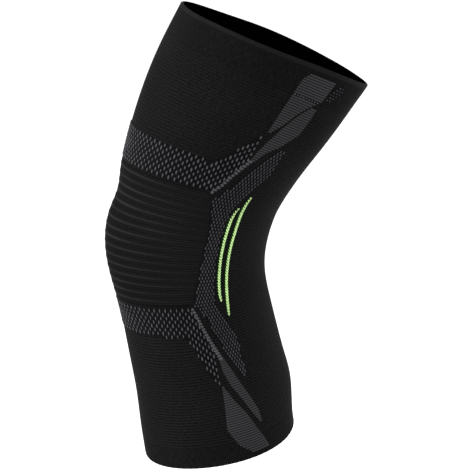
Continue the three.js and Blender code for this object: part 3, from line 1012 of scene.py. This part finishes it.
@dataclass(frozen=True)
class Wedge(SidePiece):
    """Grey wedge of close raised courses; table rows are station, first and last angle.

    The course at the fold station is drawn in over the welt's fold: it is left open, with loose
    stitches along it. Tucks are a patch of loose stitches beside the wedge.
    """

    fold_station: float | None = None
    tucks: SideZone | None = None
    fold_stitch: StitchKind = StitchKind(1.7 * MM, 1.5 * MM, 0.5 * MM, 0.15, 13)
    fold_pitch: float = 1.9
    course_rise: float = 0.22 * MM
    # Below 1 for a blunt course with steep sides
    course_power: float = 0.6
    # Just under half, so that neighbouring courses don't share their edge
    half_course: float = 0.499
    steps_per_course: int = 6
    columns: int = 22
    slot: ClassVar[str] = WEDGE_KNIT.slot

    def _run(self, sketch: MeshSketch, side: Side, first: int, last: int) -> None:
        """Add a run of courses, each cut to its own width.

        Args:
            sketch: mesh that gets the courses.
            side: side of the knee.
            first: number of the lowest course.
            last: number of the course after the highest.
        """
        course = np.repeat(np.arange(first, last), self.steps_per_course)
        share = np.tile(np.linspace(-self.half_course, self.half_course, self.steps_per_course), last - first)
        span = read_table(self.table, course / GAUGE.close_courses)
        lift = Lift.SHEET.value + self.course_rise * np.cos(math.pi * share) ** self.course_power
        strip(sketch, (course + share) / GAUGE.close_courses, span, self.columns, side, lift[:, None])

    def fold_places(self, side: Side, course: int) -> Places:
        """Places of the loose stitches along the drawn-in course."""
        station = course / GAUGE.close_courses
        low, high = (float(x) for x in read_table(self.table, station))
        angle = np.arange(low + 0.5 * self.fold_pitch, high, self.fold_pitch)
        return Places(np.full_like(angle, station), angle * side.value, lift=Lift.SHEET.value)

    def build(self, side: Side) -> bpy.types.Object:
        """Make one side's wedge with its loose stitches as one piece."""
        name = self.label(side) + "_courses"
        first, last = (round(self.table[k][0] * GAUGE.close_courses) for k in (0, -1))
        sketch = MeshSketch(name, [WEDGE_KNIT])
        loose = []
        if self.fold_station is not None:
            fold = round(self.fold_station * GAUGE.close_courses)
            self._run(sketch, side, first, fold)
            first = fold + 1
            loose.append(self.fold_stitch.lay(name + "_fold", self.fold_places(side, fold), MESH_YARN))
        self._run(sketch, side, first, last)
        if self.tucks is not None:
            loose.append(self.tucks.build(side))
        return join_pieces(name, [sketch.finish(), *loose])


@dataclass(frozen=True)
class LimeStripe(SidePiece):
    """Stripe of slanted lime stitches in pairs; table rows are station and centre angle."""

    edge_angle: float = 2.0
    edge_least: float = 0.35
    taper: float = 0.030
    stitch: StitchKind = StitchKind(1.0 * MM, 2.6 * MM, 0.9 * MM, 0.08, 5)
    slant: float = 22.0
    # Each stitch of a pair lies so far from the centre, and is at least this share of the full size
    pair_angle: float = 0.432
    stitch_least: float = 0.45
    length_power: float = 0.25
    end_gaps: tuple[float, float] = (0.003, 0.001)
    lift: float = 0.05 * MM
    rows: int = 60
    slot: ClassVar[str] = LIME_YARN.slot

    def _share(self, station: Array) -> Array:
        """Share of the full width at each station, less towards both tips."""
        ends = np.minimum(station - self.table[0][0], self.table[-1][0] - station)
        return np.sqrt(np.clip(ends / self.taper, 0, 1))

    def pairs(self, side: Side) -> Places:
        """Places of the paired stitches, one pair on every course."""
        foot, head = self.end_gaps
        station = np.arange(self.table[0][0] + foot, self.table[-1][0] - head, GAUGE.course_share)
        share = self.stitch_least + (1 - self.stitch_least) * self._share(station)
        size = np.stack([share, share ** self.length_power, share], -1)
        centre, = read_table(self.table, station)
        before, after = (
            Places(station, (centre + half * self.pair_angle * share) * side.value, size,
                   half * side.value * self.slant, self.lift)
            for half in (-1, 1))
        return before.joined(after)

    def build(self, side: Side) -> bpy.types.Object:
        """Make the ground strip and the paired stitches of one side as one piece."""
        label = self.label(side)
        station = np.linspace(self.table[0][0], self.table[-1][0], self.rows + 1)
        centre, = read_table(self.table, station)
        edge = self.edge_angle * (self.edge_least + (1 - self.edge_least) * self._share(station))
        ground = MeshSketch(label + "_ground", [LIME_GROUND])
        strip(ground, station, [centre - edge, centre + edge], 2, side)
        stitches = self.stitch.lay(label + "_stitches", self.pairs(side), LIME_YARN)
        return join_pieces(label + "_knit", [ground.finish(), stitches])


UPPER_BAND = DotBand(
    node="upper_dot_band",
    table=((0.0, 0.655, 0.721), (72.7, 0.652, 0.718), (79.4, 0.654, 0.741), (84.1, 0.671, 0.764),
           (87.4, 0.696, 0.783), (90.7, 0.718, 0.799), (92.8, 0.735, 0.807)),
    dot_rows=9, row_span=(0.655, 0.720),
    chain=((0.652, 79.2), (0.671, 83.5), (0.696, 87.2), (0.716, 90.3), (0.745, 94.6)),
    chain_widths=((0.652, 0.95), (0.700, 1.15), (0.745, 1.5)),
    dot=StitchKind(1.2 * MM, 2.9 * MM, 0.8 * MM, 0.15))
LOWER_BAND = DotBand(
    node="lower_dot_band",
    table=((0.0, 0.326, 0.392), (64.5, 0.321, 0.392), (69.4, 0.301, 0.392), (73.0, 0.262, 0.386),
           (76.1, 0.242, 0.363), (80.4, 0.209, 0.327), (83.6, 0.197, 0.297)),
    dot_rows=8, row_span=(0.329, 0.395),
    chain=((0.388, 73.0), (0.364, 76.3), (0.327, 80.5), (0.292, 84.5), (0.258, 88.4)),
    chain_widths=((0.258, 1.5), (0.300, 1.2), (0.388, 0.95)),
    dot=StitchKind(1.0 * MM, 3.0 * MM, 0.68 * MM, 0.15))

MESH_STITCH = StitchKind(1.0 * MM, 2.4 * MM, 0.6 * MM, 0.12, 3)
SIDE_MESH = SideZone(
    "side_mesh", (
        (0.199, 103.3, 105.7), (0.247, 95.0, 105.0), (0.286, 91.0, 105.4), (0.326, 86.8, 100.2),
        (0.357, 83.0, 95.5), (0.390, 75.2, 91.2), (0.399, 75.4, 91.4), (0.437, 78.8, 92.2),
        (0.479, 81.3, 93.3), (0.513, 83.1, 93.9), (0.553, 84.5, 94.7), (0.584, 83.8, 95.4),
        (0.607, 82.3, 96.2), (0.634, 80.2, 98.7), (0.655, 86.5, 101.9), (0.685, 91.9, 107.5),
        (0.718, 97.9, 112.8), (0.744, 101.6, 113.0), (0.776, 105.8, 113.1), (0.794, 109.4, 113.2)),
    MESH_STITCH, MESH_YARN, MESH_GROUND, row_pitch=0.0078, column_pitch=2.3, stagger=0.5)
CUFF_TUCKS = SideZone(
    "cuff_tucks", (
        (0.929, 114.2, 115.6), (0.945, 114.0, 119.5), (0.958, 114.0, 121.5), (0.968, 115.5, 121.8),
        (0.974, 118.0, 121.5)),
    StitchKind(0.9 * MM, 1.3 * MM, 0.6 * MM, 0.2, 9), MESH_YARN, DOT_GROUND, column_pitch=2.0, stagger=0.5,
    rows=10)
WEDGES = (
    Wedge("upper_front_wedge", (
        (0.825, 94.6, 96.6), (0.848, 94.5, 100.3), (0.885, 94.5, 104.3), (0.902, 94.6, 107.0),
        (0.914, 94.7, 109.3), (0.927, 94.7, 112.7), (0.952, 94.7, 113.2), (0.964, 95.0, 113.4),
        (0.981, 97.6, 113.6)), fold_station=0.924, tucks=CUFF_TUCKS),
    Wedge("upper_rear_wedge", (
        (0.745, 93.9, 96.8), (0.775, 95.7, 101.0), (0.795, 97.5, 106.4), (0.840, 101.1, 113.0),
        (0.858, 102.7, 113.2), (0.884, 105.5, 113.2), (0.902, 108.2, 113.0), (0.914, 110.5, 113.0))),
    Wedge("lower_rear_wedge", (
        (0.080, 108.2, 109.7), (0.112, 102.6, 108.1), (0.147, 97.9, 104.2), (0.190, 91.3, 98.7),
        (0.227, 87.8, 94.3), (0.261, 87.1, 89.9))),
    Wedge("lower_front_wedge", (
        (0.019, 97.6, 112.2), (0.039, 89.9, 109.5), (0.068, 85.0, 104.7), (0.086, 82.5, 102.3),
        (0.116, 83.4, 98.0), (0.148, 84.2, 92.2), (0.183, 84.8, 87.0), (0.194, 84.8, 85.8))),
)
STRIPES = (
    LimeStripe("stripe_front", (
        (0.391, 96.4), (0.408, 95.5), (0.445, 95.5), (0.494, 96.1), (0.543, 97.1), (0.594, 98.3),
        (0.615, 99.8), (0.625, 101.2))),
    LimeStripe("stripe_rear", (
        (0.353, 101.1), (0.403, 101.5), (0.452, 101.8), (0.505, 102.7), (0.558, 104.0), (0.613, 104.7),
        (0.640, 105.6), (0.657, 107.0))),
)


# ---- Studio

@dataclass(frozen=True)
class SoftLight:
    """Square soft light, placed from the camera's own axes."""

    name: str
    right: float
    up: float
    back: float
    size: float
    watts: float


@dataclass(frozen=True)
class Studio:
    """Camera at the photograph's angle, soft lights and a plain pale floor."""

    azimuth: float = 72.5
    elevation: float = 17.5
    distance: float = 1.7048
    target: tuple[float, float, float] = (0.0026, 0.0295, -0.0001)
    focal_pixels: float = 2452.0
    frame_pixels: int = 470
    sensor: float = 36.0
    reach: float = 100.0
    floor_height: float = -0.52
    floor_size: float = 40.0
    floor_glow: float = 0.22
    world_strength: float = 0.9
    lights: tuple[SoftLight, ...] = (
        SoftLight("key_left", right=-1.5, up=0.6, back=0.5, size=0.9, watts=26.0),
        SoftLight("rim_right", right=1.6, up=0.5, back=-0.7, size=0.8, watts=22.0))

    def _axes(self) -> tuple[Vector, Vector, Vector]:
        """Right, up and back of the camera."""
        azimuth, elevation = math.radians(self.azimuth), math.radians(self.elevation)
        ahead = math.cos(elevation)
        back = Vector((math.sin(azimuth) * ahead, -math.cos(azimuth) * ahead, math.sin(elevation)))
        right = Vector((math.cos(azimuth), math.sin(azimuth), 0.0))
        return right, back.cross(right), back

    def camera(self) -> None:
        """Place the camera and make it the scene's."""
        data = bpy.data.cameras.new("camera")
        data.sensor_width = self.sensor
        data.lens = self.sensor * self.focal_pixels / self.frame_pixels
        data.clip_end = self.reach
        camera = add_object("camera", data)
        back = self._axes()[2]
        camera.location = Vector(self.target) + back * self.distance
        camera.rotation_euler = back.to_track_quat("Z", "Y").to_euler()
        bpy.context.scene.camera = camera

    def hang(self, light: SoftLight) -> None:
        """Hang a soft light so that it faces the sleeve."""
        data = bpy.data.lights.new(light.name, "AREA")
        data.size = light.size
        data.energy = light.watts
        lamp = add_object(light.name, data)
        right, up, back = self._axes()
        away = right * light.right + up * light.up + back * light.back
        lamp.location = Vector(self.target) + away
        lamp.rotation_euler = away.to_track_quat("Z", "Y").to_euler()

    def floor(self) -> None:
        """Lay the pale floor below the leg."""
        half = self.floor_size / 2
        mesh = bpy.data.meshes.new("studio_floor")
        corners = [(-half, -half), (half, -half), (half, half), (-half, half)]
        mesh.from_pydata([(x, y, self.floor_height) for x, y in corners], [], [(0, 1, 2, 3)])
        # Matt white paper with a faint glow, so that the floor stays near white under the soft light
        material = empty_material("white_studio_paper")
        tree = material.node_tree
        shader = add_node(tree, "ShaderNodeBsdfPrincipled", out="BSDF", named={
            "Base Color": linear("fafafa"), "Roughness": 0.95, "Specular IOR Level": 0.0,
            "Emission Color": (1, 1, 1, 1), "Emission Strength": self.floor_glow})
        add_node(tree, "ShaderNodeOutputMaterial", shader)
        mesh.materials.append(material)
        floor = add_object("studio_floor", mesh)

    def world(self) -> None:
        """Fill the room with even white light."""
        world = bpy.data.worlds.new("studio_room")
        world.use_nodes = True
        bpy.context.scene.world = world
        node = world.node_tree.nodes["Background"]
        node.inputs["Color"].default_value = (1, 1, 1, 1)
        node.inputs["Strength"].default_value = self.world_strength

    def build(self) -> None:
        """Set up the whole studio."""
        scene = bpy.context.scene
        scene.view_settings.view_transform = "Standard"
        scene.view_settings.look = "None"
        self.camera()
        self.world()
        self.floor()
        for light in self.lights:
            self.hang(light)
        LOG.info("studio ready")


def main() -> None:
    """Build the studio and every zone of the sleeve."""
    logging.basicConfig(level=logging.INFO, format="%(name)s %(message)s")
    Studio().build()
    Tube().dress()
    Cuff("thigh_cuff", LEG.thigh_cuff_foot, 1.0).dress()
    Cuff("calf_cuff", LEG.calf_cuff_top, 0.0).dress()
    KneecapPanel().dress()
    for part in (UPPER_BAND, LOWER_BAND, SIDE_MESH, *WEDGES, *STRIPES):
        part.dress()


if __name__ == "__main__":
    main()
